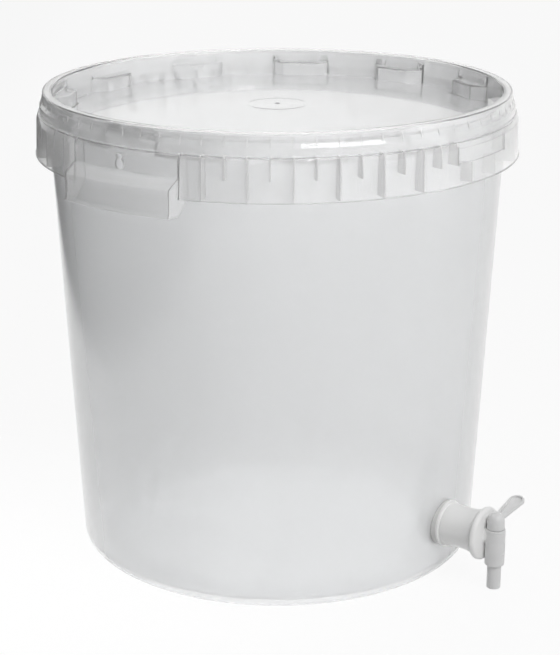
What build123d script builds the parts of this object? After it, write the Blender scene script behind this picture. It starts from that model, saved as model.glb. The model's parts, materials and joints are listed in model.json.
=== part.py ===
from build123d import *
from math import asin, cos, degrees, radians, sin, sqrt
import os

# Fermenting bucket: a tapered tub with a clip-on lid and a quarter-turn tap.
# Millimetres, +Z up. The origin is on the tub's axis, in the plane of its foot ring.
# The tap points along -Y and the two grips lie along +X and -X.

# Tub: driving dimensions
rim_height = 376.0
rim_radius = 182.2
base_radius = 163.0
tub_wall = 2.0
floor_thickness = 2.4
floor_lift = 3.0
foot_width = 19.0
foot_slope = 3.0
corner_chamfer = 4.6
inner_corner_chamfer = 3.6
rim_chamfer = 0.6
bead_reach = 1.0
bead_drop = 1.2
bead_height = 2.4
bead_run_out = 2.2

# Collar round the rim: a ledge, a bevel and a skirt that hangs free of the wall
ledge_drop = 15.0
ledge_overhang = 6.8
bevel_drop = 5.0
bevel_out = 1.5
skirt_drop = 27.7
skirt_draft = 1.0
skirt_wall = 1.6
skirt_bead = 0.6
skirt_bead_height = 1.2
root_overlap = 0.8

# Ribs between wall and skirt
rib_spacing = 5.0
rib_wall = 1.2
long_rib_inset = 0.6
short_rib_share = 0.52

# Grips, moulded in one with the collar
grip_width = 99.2
grip_face_drop = 12.3
grip_reach = 10.5
grip_shoulder_drop = 6.7
grip_panel_height = 21.0
grip_wall = 1.8
grip_lip = 1.6
grip_lip_height = 3.5
grip_end_cut = 11.0
eye_radius = 4.2
eye_drop = 7.5
notch_width = 7.0

# Pull tab in the skirt, above the tap
tab_angle = 19.0
tab_height = 11.0
tab_recess = 0.7
tab_slot_angle = 0.6
tab_slot_extra = 2.0

# Lid
lid_wall = 1.5
lid_seat_gap = 0.3
plug_clearance = 0.5
snap_clearance = 0.35
lid_skirt_height = 16.0
band_height = 7.4
band_draft = 0.9
step_height = 3.1
step_out = 1.6
lid_skirt_draft = 0.5
recess_depth = 21.8
dome_height = 7.0
lug_count = 12
lug_height = 12.0
lug_reach = 11.5
lug_face_width = 30.0
lug_root_width = 49.0
gusset_spacing = 5.0
gusset_wall = 0.9
gusset_height = 4.6
gusset_root = 0.25
lid_chamfer = 0.5

# Tap
tap_height = 45.0
shank_radius = 13.0
shank_bore_radius = 10.0
hole_clearance = 0.5
seat_gap = 0.15
thread_clearance = 0.05
outer_washer_height = 3.0
inner_washer_height = 3.5
washer_radius = 18.2
flange_radius = 18.6
flange_height = 2.0
groove_depth = 2.4
groove_width = 1.6
barrel_radius = 17.3
barrel_waist_radius = 16.4
barrel_flare_radius = 18.4
barrel_length = 28.0
disc_radius = 21.2
disc_height = 5.0
disc_chamfer = 1.5
nut_height = 8.0
nut_across_flats = 36.0
nut_flange_radius = 19.0
nut_flange_height = 2.5
shank_proud = 2.5

# Valve: a housing across the end of the barrel, and the plug that turns in it
valve_offset = 7.5
housing_radius = 7.8
housing_above = 6.5
housing_below = 23.5
housing_chamfer = 0.9
neck_radius = 6.5
plug_radius = 5.9
spout_radius = 5.5
spout_shoulder_drop = 0.8
running_clearance = 0.05
mouth_radius = 6.4
mouth_depth = 2.0
port_radius = 3.0
panel_width = 5.4
panel_height = 10.4
panel_drop = 9.0
panel_depth = 0.5
nozzle_ground_gap = 1.5
nozzle_chamfer = 0.6
cap_gap = 0.3
cap_radius = 6.9
cap_straight = 6.3
seal_section = 1.5
seal_offset = 4.8
lever_reach = 37.4
lever_slope = 20.6
lever_root_height = 5.7
lever_root_radius = 4.4
lever_tip_radius = 3.4
lever_thickness = 3.4
pocket_depth = 2.0
pocket_start = 11.0
pocket_start_radius = 1.2
pocket_rim = 1.2


def wall_radius(height):
    """Outer radius of the tub's tapered wall at a height."""
    return base_radius + (rim_radius - base_radius) * height / rim_height


def radial_plane(angle):
    """Upright plane through the axis: its x runs outwards at an angle from +X, its y is +Z."""
    a = radians(angle)
    return Plane(origin=(0, 0, 0), x_dir=(cos(a), sin(a), 0), z_dir=(sin(a), -cos(a), 0))


def thick_line(points, thickness):
    """Closed section of a sheet: the outer line through the points, and its copy further in."""
    with BuildSketch() as section:
        with BuildLine():
            outer = Polyline(*points)
            offset(outer, amount=thickness, side=Side.RIGHT, kind=Kind.INTERSECTION, mode=Mode.ADD)
        make_face()
    return section.sketch


# Worked-out places
floor_height = floor_lift + floor_thickness
ledge_height = rim_height - ledge_drop
ledge_radius = rim_radius + ledge_overhang
bevel_height = ledge_height - bevel_drop
bevel_radius = ledge_radius + bevel_out
skirt_height = bevel_height - skirt_drop
skirt_radius = bevel_radius + skirt_draft
front_angle = -90.0
grip_angles = (0.0, 180.0)
foot_inner_radius = base_radius - foot_width

bead_top = rim_height - bead_drop
bead_bottom = bead_top - bead_height
tab_bottom = bevel_height - tab_height
lid_top = rim_height + lid_seat_gap + lid_wall

# Tub wall and floor, with the hole for the tap's shank
with BuildPart() as tub_shell:
    with BuildSketch(Plane.XZ):
        with BuildLine():
            Polyline(
                (0, floor_lift),
                (foot_inner_radius - foot_slope, floor_lift),
                (foot_inner_radius, 0),
                (base_radius, 0),
                (wall_radius(bead_bottom - bead_run_out), bead_bottom - bead_run_out),
                (rim_radius + bead_reach, bead_bottom),
                (rim_radius + bead_reach, bead_top),
                (rim_radius, rim_height),
                (rim_radius - tub_wall, rim_height),
                (wall_radius(floor_height) - tub_wall, floor_height),
                (0, floor_height),
                close=True,
            )
        make_face()
        outer_corner = (base_radius, 0)
        chamfer(vertices().sort_by_distance(outer_corner)[0], corner_chamfer)
        inner_corner = (wall_radius(floor_height) - tub_wall, floor_height)
        chamfer(vertices().sort_by_distance(inner_corner)[0], inner_corner_chamfer)
        rim_corner = (rim_radius - tub_wall, rim_height)
        chamfer(vertices().sort_by_distance(rim_corner)[0], rim_chamfer)
    revolve(axis=Axis.Z)
    with BuildSketch(Plane.XZ.offset(wall_radius(0) / 2)):
        with Locations((0, tap_height)):
            Circle(shank_radius + hole_clearance)
    extrude(amount=rim_radius, mode=Mode.SUBTRACT)

# Collar: two stretches of ledge, bevel and skirt, between the grips
root_radius = wall_radius(ledge_height) - root_overlap
bead_edge = skirt_height + skirt_bead_height
bead_radius = skirt_radius + skirt_bead
collar_line = (
    (root_radius, ledge_height),
    (ledge_radius, ledge_height),
    (bevel_radius, bevel_height),
    (skirt_radius, bead_edge),
    (skirt_radius, skirt_height),
)
# Half angle of a grip's gap in the collar, whose ends stop inside the grip's end walls
collar_start = degrees(asin((grip_width - grip_wall) / 2 / skirt_radius))
with BuildPart() as collar:
    for grip_centre in grip_angles:
        with BuildSketch(radial_plane(grip_centre + collar_start)):
            add(thick_line(collar_line, skirt_wall))
            with BuildLine():
                Polyline(
                    (skirt_radius - skirt_wall / 2, bead_edge),
                    (skirt_radius, bead_edge),
                    (bead_radius, skirt_height + skirt_bead),
                    (bead_radius, skirt_height),
                    (skirt_radius - skirt_wall / 2, skirt_height),
                    close=True,
                )
            make_face()
        revolve(axis=Axis.Z, revolution_arc=180 - 2 * collar_start)
    # Pull tab: thinner than the skirt, with a slot at each end where it tears free
    with BuildSketch(radial_plane(front_angle - tab_angle / 2)):
        with BuildLine():
            Polyline(
                (bevel_radius - tab_recess, bevel_height),
                (bead_radius, bevel_height),
                (bead_radius, tab_bottom),
                (bevel_radius - tab_recess, tab_bottom),
                close=True,
            )
        make_face()
    revolve(axis=Axis.Z, revolution_arc=tab_angle, mode=Mode.SUBTRACT)
    for slot_start in (-tab_angle / 2 - tab_slot_angle, tab_angle / 2):
        with BuildSketch(radial_plane(front_angle + slot_start)):
            with Locations((bevel_radius, bevel_height - tab_height / 2)):
                Rectangle(3 * skirt_wall, tab_height + tab_slot_extra)
        revolve(axis=Axis.Z, revolution_arc=tab_slot_angle, mode=Mode.SUBTRACT)

# Grips: a stepped panel, closed at both ends and open below for the fingers
grip_face_height = bevel_height - grip_face_drop
shoulder_height = grip_face_height - grip_shoulder_drop
grip_bottom = shoulder_height - grip_panel_height
grip_radius = bevel_radius + grip_reach
grip_line = (
    (root_radius, ledge_height),
    (ledge_radius, ledge_height),
    (bevel_radius, bevel_height),
    (bevel_radius, grip_face_height),
    (grip_radius, shoulder_height),
    (grip_radius, grip_bottom + grip_lip_height),
    (grip_radius + grip_lip, grip_bottom),
)
grip_half_angle = degrees(asin(grip_width / 2 / (wall_radius(grip_bottom) - root_overlap)))


def grip_block(section, width):
    """The section carried round the axis at both grips, cut to a width by parallel planes."""
    with BuildPart() as block:
        for grip_centre in grip_angles:
            with BuildSketch(radial_plane(grip_centre - grip_half_angle)):
                add(section)
            revolve(axis=Axis.Z, revolution_arc=2 * grip_half_angle)
        with Locations((0, 0, ledge_height)):
            Box(3 * grip_radius, width, 2 * ledge_height, mode=Mode.INTERSECT)
    return block.part


with BuildSketch() as grip_outline:
    with BuildLine():
        Polyline(
            *grip_line,
            (wall_radius(grip_bottom) + grip_end_cut, grip_bottom),
            (wall_radius(skirt_height) - root_overlap, skirt_height),
            close=True,
        )
    make_face()
with BuildSketch() as finger_room:
    add(grip_outline.sketch)
    add(thick_line(grip_line, grip_wall), mode=Mode.SUBTRACT)
with BuildPart() as grips:
    add(grip_block(grip_outline.sketch, grip_width))
    add(grip_block(finger_room.sketch, grip_width - 2 * grip_wall), mode=Mode.SUBTRACT)
    # Eye in the face of each grip, with a lead-in notch above it
    with BuildSketch(Plane.YZ):
        with Locations((0, bevel_height - eye_drop)):
            Circle(eye_radius)
        with BuildLine():
            Polyline(
                (0, bevel_height - eye_drop),
                (notch_width / 2, bevel_height),
                (-notch_width / 2, bevel_height),
                close=True,
            )
        make_face()
    extrude(amount=grip_radius, both=True, mode=Mode.SUBTRACT)


def web_radius(height):
    """Radius of the middle of the skirt's wall at a height, where a rib ends."""
    share = (bevel_height - height) / skirt_drop
    return bevel_radius + skirt_draft * share - skirt_wall / 2


def rib(low, high):
    """One radial web in the plane of +X, from the tub's wall to the middle of the skirt."""
    bend = min(high, bevel_height)
    with BuildPart() as web:
        with BuildSketch(Plane.XZ):
            with BuildLine():
                Polyline(
                    (wall_radius(low) - root_overlap, low),
                    (web_radius(low), low),
                    (web_radius(bend), bend),
                    (web_radius(bevel_height) - (high - bend) * bevel_out / bevel_drop, high),
                    (wall_radius(high) - root_overlap, high),
                    close=True,
                )
            make_face()
        extrude(amount=rib_wall / 2, both=True)
    return web.part


# Ribs: long and short by turns, none behind a grip, and cut off under the pull tab
rib_top = ledge_height - skirt_wall / 2
rib_low = skirt_height + long_rib_inset
ribs = {
    "long": rib(rib_low, rib_top),
    "short": rib(rib_top - short_rib_share * (rib_top - rib_low), rib_top),
    "low": rib(rib_low, tab_bottom - skirt_wall / 2),
}
rib_places = {"long": [], "short": [], "low": []}
for step in range(round(360 / rib_spacing)):
    from_front = (step * rib_spacing + 180) % 360 - 180
    from_tab = abs(from_front) - tab_angle / 2
    if abs(abs(from_front) - 90) <= grip_half_angle or from_front == 0:
        continue
    kind = "long" if step % 2 == 0 else "short"
    if from_tab < 0:
        kind = "low"
    elif from_tab < rib_spacing / 2:
        kind = "short"
    rib_places[kind].append(Location((0, 0, 0), (0, 0, front_angle + from_front)))

with BuildPart() as tub:
    add(tub_shell.part)
    add([collar.part, grips.part])
    for kind, places in rib_places.items():
        with Locations(*places):
            add(ribs[kind])
tub.part.label = "tub"

# Lid: a shallow dome set below a rim channel that clips over the tub's rim


def lid_inner_radius(height):
    """Radius of the lid's inner wall, on the side of the recess, where it follows the tub."""
    return wall_radius(height) - tub_wall - plug_clearance - lid_wall


recess_floor = lid_top - recess_depth
recess_radius = lid_inner_radius(recess_floor)
band_radius = rim_radius + bead_reach + snap_clearance + lid_wall
band_bottom = lid_top - band_height
step_bottom = band_bottom - step_height
step_radius = band_radius + band_draft + step_out
lid_bottom = lid_top - lid_skirt_height
lug_top = recess_floor + lug_height
lug_radius = recess_radius - lug_reach
lug_slant = (lug_root_width - lug_face_width) / 2 / lug_reach


def lug_outline(inner, outer, half_width):
    """Plan of one lug: a trapezoid that widens outwards from a face of given half width."""
    spread = half_width + lug_slant * (outer - inner)
    with BuildSketch() as outline:
        with BuildLine():
            Polyline(
                (inner, -half_width), (inner, half_width), (outer, spread), (outer, -spread), close=True
            )
        make_face()
    return outline.sketch


with BuildPart() as lid:
    with BuildSketch(Plane.XZ):
        with BuildLine() as lid_line:
            dome = ((0, recess_floor + dome_height), (recess_radius, recess_floor))
            TangentArc(*dome, tangent=(1, 0))
            Polyline(
                (recess_radius, recess_floor),
                (lid_inner_radius(lid_top), lid_top),
                (band_radius, lid_top),
                (band_radius + band_draft, band_bottom),
                (step_radius, step_bottom),
                (step_radius + lid_skirt_draft, lid_bottom),
            )
            offset(amount=lid_wall, side=Side.RIGHT, kind=Kind.INTERSECTION, mode=Mode.ADD)
        make_face()
        for top_corner in ((lid_inner_radius(lid_top), lid_top), (band_radius, lid_top)):
            chamfer(vertices().sort_by_distance(top_corner)[0], lid_chamfer)
    revolve(axis=Axis.Z)
    # Stacking lugs, hollow from below with an even wall
    with BuildSketch(Plane.XY.offset(recess_floor - lid_wall / 3)):
        with PolarLocations(0, lug_count):
            add(lug_outline(lug_radius, band_radius, lug_face_width / 2))
        Circle(recess_radius + lid_wall / 2, mode=Mode.INTERSECT)
    extrude(amount=lug_height + lid_wall / 3)
    pocket_face = lug_face_width / 2 + lug_slant * lid_wall - lid_wall * sqrt(1 + lug_slant**2)
    with BuildSketch(Plane.XY.offset(lug_top - lid_wall)):
        with PolarLocations(0, lug_count):
            add(lug_outline(lug_radius + lid_wall, band_radius - 2 * lid_wall - bead_reach, pocket_face))
    extrude(amount=-lug_height - lid_wall, mode=Mode.SUBTRACT)
    # Gussets in the step of the outer wall
    gusset_top_radius = band_radius + band_draft * (1 - gusset_height / band_height)
    with BuildPart(mode=Mode.PRIVATE) as gusset:
        with BuildSketch(Plane.XZ):
            with BuildLine():
                Polyline(
                    (gusset_top_radius - gusset_root, band_bottom + gusset_height),
                    (step_radius - gusset_root, step_bottom),
                    (band_radius + band_draft - lid_wall / 2, band_bottom),
                    close=True,
                )
            make_face()
        extrude(amount=gusset_wall / 2, both=True)
    with PolarLocations(0, round(360 / gusset_spacing)):
        add(gusset.part)
lid.part.label = "lid"

# Tap body: shank, flange, waisted barrel and disc in one line, with the valve housing across the end
wall_seat = wall_radius(tap_height)
flange_seat = wall_seat + outer_washer_height
nut_seat = wall_seat - tub_wall - inner_washer_height
shank_end = nut_seat - nut_height - shank_proud
groove_start = flange_seat + flange_height
barrel_start = groove_start + groove_width
disc_start = barrel_start + barrel_length
disc_end = disc_start + disc_height
valve_centre = disc_end + valve_offset
housing_bottom = tap_height - housing_below
housing_top = tap_height + housing_above
tap_line = Plane(origin=(0, 0, tap_height), x_dir=(0, -1, 0), z_dir=(-1, 0, 0))
tap_axis = Axis((0, 0, tap_height), (0, -1, 0))
bore_radius = plug_radius + running_clearance


def across_tap(distance):
    """Upright plane square to the tap's line, at a distance from the tub's axis."""
    return Plane(origin=(0, -distance, tap_height), x_dir=(1, 0, 0), z_dir=(0, -1, 0))


with BuildPart() as tap_body:
    with BuildSketch(tap_line):
        with BuildLine():
            Polyline(
                (disc_start, barrel_flare_radius),
                (disc_start, disc_radius),
                (disc_end, disc_radius),
                (disc_end, 0),
                (shank_end, 0),
                (shank_end, shank_radius),
                (flange_seat, shank_radius),
                (flange_seat, flange_radius),
                (groove_start, flange_radius),
                (groove_start, flange_radius - groove_depth),
                (barrel_start, flange_radius - groove_depth),
                (barrel_start, barrel_radius),
            )
            ThreePointArc(
                (barrel_start, barrel_radius),
                ((barrel_start + disc_start) / 2, barrel_waist_radius),
                (disc_start, barrel_flare_radius),
            )
        make_face()
        for edge_start in (disc_start, disc_end):
            chamfer(vertices().sort_by_distance((edge_start, disc_radius))[0], disc_chamfer)
    revolve(axis=tap_axis)
    with BuildSketch(Plane.XY.offset(housing_bottom)):
        with Locations((0, -valve_centre)):
            Circle(housing_radius)
    extrude(amount=housing_top - housing_bottom)
    chamfer(edges().group_by(Axis.Z)[0], housing_chamfer)
    with BuildSketch(across_tap(disc_end - disc_chamfer)):
        Circle(neck_radius)
    extrude(amount=valve_offset + disc_chamfer)
    # Waterway: a wide bore to the disc, then a port into the housing's own bore
    with BuildSketch(across_tap(shank_end)):
        Circle(shank_bore_radius)
    extrude(amount=disc_start - shank_end, mode=Mode.SUBTRACT)
    with BuildSketch(across_tap(shank_end)):
        Circle(port_radius)
    extrude(amount=valve_centre - shank_end, mode=Mode.SUBTRACT)
    with BuildSketch(Plane.XY.offset(housing_bottom)):
        with Locations((0, -valve_centre)):
            Circle(bore_radius)
    extrude(amount=housing_top - housing_bottom, mode=Mode.SUBTRACT)
    with BuildSketch(Plane.XY.offset(housing_bottom)):
        with Locations((0, -valve_centre)):
            Circle(mouth_radius)
    extrude(amount=mouth_depth, mode=Mode.SUBTRACT)
    # Bare sunk panel on the front of the housing
    with BuildSketch(across_tap(valve_centre + housing_radius - panel_depth)):
        with Locations((0, -panel_drop)):
            Rectangle(panel_width, panel_height)
    extrude(amount=panel_depth, mode=Mode.SUBTRACT)
tap_body.part.label = "tap_body"

# Plug: cap, lever, valve stem and spout in one piece that turns in the housing
cap_bottom = housing_top + cap_gap
cap_side_top = cap_bottom + cap_straight
cap_top = cap_side_top + cap_radius
valve_line = Plane(origin=(0, -valve_centre, 0), x_dir=(1, 0, 0), z_dir=(0, -1, 0))
valve_axis = Axis((0, -valve_centre, 0), (0, 0, 1))
seal_heights = (tap_height - seal_offset, tap_height + seal_offset)
spout_top = housing_bottom - spout_shoulder_drop
slope = radians(lever_slope)
lever_plane = Plane(
    origin=(0, -valve_centre, cap_bottom + lever_root_height),
    x_dir=(cos(slope), 0, sin(slope)),
    z_dir=(-sin(slope), 0, cos(slope)),
)
lever_end = lever_reach - lever_tip_radius
with BuildPart() as tap_plug:
    with BuildSketch(valve_line):
        with BuildLine():
            Polyline(
                (0, cap_top),
                (0, nozzle_ground_gap),
                (spout_radius, nozzle_ground_gap),
                (spout_radius, spout_top),
                (plug_radius, spout_top),
                (plug_radius, cap_bottom),
                (cap_radius, cap_bottom),
                (cap_radius, cap_side_top),
            )
            CenterArc((0, cap_side_top), cap_radius, start_angle=0, arc_size=90)
        make_face()
        chamfer(vertices().sort_by_distance((spout_radius, nozzle_ground_gap))[0], nozzle_chamfer)
    revolve(axis=valve_axis)
    # Lever: a tapered paddle that rises from the cap, hollowed on its upper face
    with BuildSketch(lever_plane):
        with Locations((0, 0)):
            Circle(lever_root_radius)
        with Locations((lever_end, 0)):
            Circle(lever_tip_radius)
        make_hull()
    extrude(amount=lever_thickness / 2, both=True)
    with BuildSketch(lever_plane.offset(lever_thickness / 2)):
        with Locations((pocket_start, 0)):
            Circle(pocket_start_radius)
        with Locations((lever_end, 0)):
            Circle(lever_tip_radius - pocket_rim)
        make_hull()
    extrude(amount=-pocket_depth, mode=Mode.SUBTRACT)
    # Waterway: up the spout and out through a side port, which is shut off in this position
    with BuildSketch(Plane.XY.offset(nozzle_ground_gap)):
        with Locations((0, -valve_centre)):
            Circle(port_radius)
    extrude(amount=tap_height + port_radius - nozzle_ground_gap, mode=Mode.SUBTRACT)
    with BuildSketch(Plane(origin=(0, -valve_centre, tap_height), x_dir=(0, 1, 0), z_dir=(-1, 0, 0))):
        Circle(port_radius)
    extrude(amount=cap_radius, mode=Mode.SUBTRACT)
    # Grooves for the two ring seals
    with BuildSketch(valve_line):
        for seal_height in seal_heights:
            with Locations((plug_radius, seal_height)):
                Rectangle(2 * seal_section + 2 * running_clearance, seal_section + 2 * running_clearance)
    revolve(axis=valve_axis, mode=Mode.SUBTRACT)
tap_plug.part.label = "tap_plug"


def ring_seal(height):
    """Rubber ring of square section round the plug, at a height."""
    with BuildPart() as ring:
        with BuildSketch(valve_line):
            with Locations((plug_radius - seal_section / 2, height)):
                Rectangle(seal_section, seal_section)
        revolve(axis=valve_axis)
    return ring.part


lower_seal, upper_seal = (ring_seal(height) for height in seal_heights)
lower_seal.label = "lower_plug_seal"
upper_seal.label = "upper_plug_seal"

# Washers: flat towards the tap and the nut, cut to the tub's tapered wall on the other side


def wall_core(outer_radius_change):
    """Solid tapered core as high as the tub, its side moved out or in from the wall's outer face."""
    with BuildPart() as core:
        with BuildSketch(Plane.XZ):
            with BuildLine():
                Polyline(
                    (0, 0),
                    (wall_radius(0) + outer_radius_change, 0),
                    (wall_radius(rim_height) + outer_radius_change, rim_height),
                    (0, rim_height),
                    close=True,
                )
            make_face()
        revolve(axis=Axis.Z)
    return core.part


with BuildPart() as outer_washer:
    with BuildSketch(across_tap(flange_seat)):
        Circle(washer_radius)
        Circle(shank_radius + thread_clearance, mode=Mode.SUBTRACT)
    extrude(amount=-2 * outer_washer_height)
    add(wall_core(seat_gap), mode=Mode.SUBTRACT)
outer_washer.part.label = "outer_washer"

with BuildPart() as inner_washer:
    with BuildSketch(across_tap(nut_seat)):
        Circle(washer_radius)
        Circle(shank_radius + thread_clearance, mode=Mode.SUBTRACT)
    extrude(amount=2 * inner_washer_height)
    add(wall_core(-tub_wall - seat_gap), mode=Mode.INTERSECT)
inner_washer.part.label = "inner_washer"

# Back nut inside the tub: a hexagon on a round flange
with BuildPart() as back_nut:
    with BuildSketch(across_tap(nut_seat)):
        Circle(nut_flange_radius)
    extrude(amount=-nut_flange_height)
    with BuildSketch(across_tap(nut_seat)):
        RegularPolygon(nut_across_flats / 2, 6, major_radius=False)
    extrude(amount=-nut_height)
    with BuildSketch(across_tap(nut_seat)):
        Circle(shank_radius + thread_clearance)
    extrude(amount=-nut_height, mode=Mode.SUBTRACT)
back_nut.part.label = "back_nut"

pieces = (
    tub.part,
    lid.part,
    tap_body.part,
    tap_plug.part,
    lower_seal,
    upper_seal,
    outer_washer.part,
    inner_washer.part,
    back_nut.part,
)
os.makedirs("parts", exist_ok=True)
for piece in pieces:
    export_step(piece, f"parts/{piece.label}.step")
    print(piece.label, len(piece.solids()), round(piece.volume / 1000, 2), "cubic centimetres")
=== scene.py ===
# %% [markdown]
# A fermenting bucket: a tall milky tub, a clip-on lid and a small white tap.
# The solid model arrives first, as a fixed frame of bodies that can move. Everything made below is
# laid over that frame in the same place, so nothing has to be fitted by eye. A frame could also be
# modelled again from scratch here, but then the picture and the moving model would drift apart.

# %% Load the frame
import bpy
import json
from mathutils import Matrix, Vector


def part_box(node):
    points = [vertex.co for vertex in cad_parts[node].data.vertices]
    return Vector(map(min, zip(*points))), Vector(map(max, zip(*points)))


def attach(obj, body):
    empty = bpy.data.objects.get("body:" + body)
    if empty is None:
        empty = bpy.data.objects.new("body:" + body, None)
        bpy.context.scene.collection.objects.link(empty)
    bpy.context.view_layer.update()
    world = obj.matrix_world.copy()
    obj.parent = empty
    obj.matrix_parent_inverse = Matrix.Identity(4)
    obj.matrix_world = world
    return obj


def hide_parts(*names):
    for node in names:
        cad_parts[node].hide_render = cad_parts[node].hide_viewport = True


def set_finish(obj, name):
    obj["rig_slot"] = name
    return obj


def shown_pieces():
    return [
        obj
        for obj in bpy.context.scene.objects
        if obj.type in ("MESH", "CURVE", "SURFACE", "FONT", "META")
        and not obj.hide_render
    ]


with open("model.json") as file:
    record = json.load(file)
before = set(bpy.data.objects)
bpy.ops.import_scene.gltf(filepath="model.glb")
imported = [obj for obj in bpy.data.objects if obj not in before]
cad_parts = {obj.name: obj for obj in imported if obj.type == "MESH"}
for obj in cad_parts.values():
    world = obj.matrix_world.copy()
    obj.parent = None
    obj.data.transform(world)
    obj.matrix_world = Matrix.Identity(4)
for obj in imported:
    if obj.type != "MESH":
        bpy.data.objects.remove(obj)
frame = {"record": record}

# %% Tools and units
import json
from math import pi, radians
import bmesh
import bpy
import numpy as np
from mathutils import Vector

MM = 0.001
SAME_POINT = 1e-6
SHARP_DEGREES = 32
bpy.context.view_layer.update()

# %% [markdown]
# Nearly every part of a bucket is turned: its section is carried round an axis. A section could be
# drawn with hundreds of points, but a moulded part is a few straight runs with a small radius at
# each corner, because a mould is cut that way. So a section here is a short list of corners, each
# with its radius, and one function works out the arcs. The section is closed, so the wall has a
# real inside and outside and light passes through a true thickness.


# %% Sections with rounded corners
def rounded(corners, radii, steps=5):
    """Closed section through the corners, each replaced by an arc. The arc's centre lies on the
    corner's bisector, at radius / sin(half the corner's angle), and its points step evenly."""
    p = np.asarray(corners, float)
    r = np.broadcast_to(np.asarray(radii, float), len(p))[:, None]
    back = np.roll(p, 1, 0) - p
    ahead = np.roll(p, -1, 0) - p
    back /= np.linalg.norm(back, axis=1, keepdims=True)
    ahead /= np.linalg.norm(ahead, axis=1, keepdims=True)
    half = np.arccos(np.clip((back * ahead).sum(1, keepdims=True), -1, 1)) / 2
    middle = back + ahead
    middle /= np.linalg.norm(middle, axis=1, keepdims=True)
    centre = p + middle * r / np.sin(half)
    first = p + back * r / np.tan(half) - centre
    last = p + ahead * r / np.tan(half) - centre
    turn = (pi - 2 * half)[:, None]
    t = np.linspace(0, 1, steps + 1)[None, :, None]
    arc = (np.sin((1 - t) * turn) * first[:, None] + np.sin(t * turn) * last[:, None]) / np.sin(turn)
    return (centre[:, None] + arc).reshape(-1, 2)


def moved_in(line, distance):
    """An open line of points shifted to its right by a distance, with its corners mitred: each
    point moves along the sum of its two runs' normals, divided by one plus their dot product."""
    p = np.asarray(line, float)
    run = np.diff(p, axis=0)
    run /= np.linalg.norm(run, axis=1, keepdims=True)
    normal = np.stack([run[:, 1], -run[:, 0]], 1)
    before = np.concatenate([normal[:1], normal])
    after = np.concatenate([normal, normal[-1:]])
    share = 1 + (before * after).sum(1, keepdims=True)
    return p + distance * (before + after) / share


corner_sample = rounded([(0, 0), (1, 0), (1, 1), (0, 1)], 0.1)
print("a square with rounded corners has", len(corner_sample), "points")


# %% Grids of points and their faces
def grid_faces(rows, columns, close_rows=True, close_columns=True):
    """Four-sided faces of a grid, where the point in row i and column j has number i * columns + j."""
    i = np.arange(rows if close_rows else rows - 1)[:, None]
    j = np.arange(columns if close_columns else columns - 1)[None, :]
    down, right = (i + 1) % rows, (j + 1) % columns
    corners = (i * columns + j, i * columns + right, down * columns + right, down * columns + j)
    return np.stack(np.broadcast_arrays(*corners), -1).reshape(-1, 4).tolist()


def end_faces(rows, columns):
    """The two flat faces that close a section's first and last column."""
    first = np.arange(rows) * columns
    return [first.tolist(), (first + columns - 1)[::-1].tolist()]


def full_turn(columns):
    """Evenly spaced angles of one whole turn."""
    return np.linspace(0, 2 * pi, columns, endpoint=False)


def spin(section, turns, origin=(0, 0, 0), along=(0, 0, 1), start=(0, -1, 0)):
    """A section of (radius, distance along the axis) carried round the axis: each point is the
    origin, plus its distance along the axis, plus its radius in the direction of each turn."""
    radius, height = np.asarray(section).T
    along, start = np.array(along, float), np.array(start, float)
    ring = np.cos(turns)[:, None] * start + np.sin(turns)[:, None] * np.cross(along, start)
    return np.array(origin) + height[:, None, None] * along + radius[:, None, None] * ring[None]


# %% Meshes from grids
def new_mesh(name, points, faces, sharp_degrees=SHARP_DEGREES):
    """A mesh in metres from points in millimetres: doubled points merged, faces turned outwards,
    smooth but for the edges that turn by more than the sharp angle."""
    mesh = bpy.data.meshes.new(name)
    mesh.from_pydata((np.asarray(points).reshape(-1, 3) * MM).tolist(), [], faces)
    work = bmesh.new()
    work.from_mesh(mesh)
    bmesh.ops.remove_doubles(work, verts=work.verts, dist=SAME_POINT)
    bmesh.ops.recalc_face_normals(work, faces=work.faces)
    work.to_mesh(mesh)
    work.free()
    mesh.shade_smooth()
    mesh.set_sharp_from_angle(angle=radians(sharp_degrees))
    piece = bpy.data.objects.new(name, mesh)
    bpy.context.scene.collection.objects.link(piece)
    return piece


def turned(name, section, columns=256, **axis):
    """A whole turned piece from a closed section."""
    section = np.asarray(section)
    points = spin(section, full_turn(columns), **axis)
    return new_mesh(name, points, grid_faces(len(section), columns))


def swept(name, points):
    """A closed section carried along an open path, with a flat face at each end."""
    rows, columns = points.shape[:2]
    faces = grid_faces(rows, columns, close_columns=False) + end_faces(rows, columns)
    return new_mesh(name, points, faces)


# %% [markdown]
# Some pieces are cut or joined after they are made. Blender's Boolean modifier could stay on the
# piece, but the finished mesh is what gets measured and fitted, so each cut is made final at once.
# The exact solver is slower than the fast one and copes with faces that touch. A finished piece is
# then hung on the body that it moves with.


# %% Cutting, joining and fitting
def combine(piece, tools, operation="DIFFERENCE"):
    """Cuts the tools from the piece, or joins them to it, and removes the tools. The result is a
    plain mesh, so any modifier that the piece already had is part of it from then on."""
    for tool in tools:
        step = piece.modifiers.new("combine", "BOOLEAN")
        step.operation = operation
        step.solver = "EXACT"
        step.object = tool
    bpy.context.view_layer.update()
    done = bpy.data.meshes.new_from_object(piece.evaluated_get(bpy.context.evaluated_depsgraph_get()))
    piece.modifiers.clear()
    piece.data = done
    for tool in tools:
        bpy.data.objects.remove(tool)
    done.shade_smooth()
    done.set_sharp_from_angle(angle=radians(SHARP_DEGREES))
    return piece


def fit(piece, body, slot, replaced=()):
    """Hangs a finished piece on its body, names its finish and hides the solids it stands for."""
    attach(piece, body)
    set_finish(piece, slot)
    if replaced:
        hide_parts(*replaced)
    print(piece.name, len(piece.data.polygons), "faces on", body)
    return piece


# %% [markdown]
# The tub is injection moulded: a wall that leans out a little so that it leaves the mould, a floor
# that stands up off the table on a foot ring, and a bead round the rim for the lid to snap over.
# The wall could be a cone with a Solidify modifier, but its foot, bead and rounded corners all have
# their own sizes, so the whole section is written out and turned once.

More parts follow.
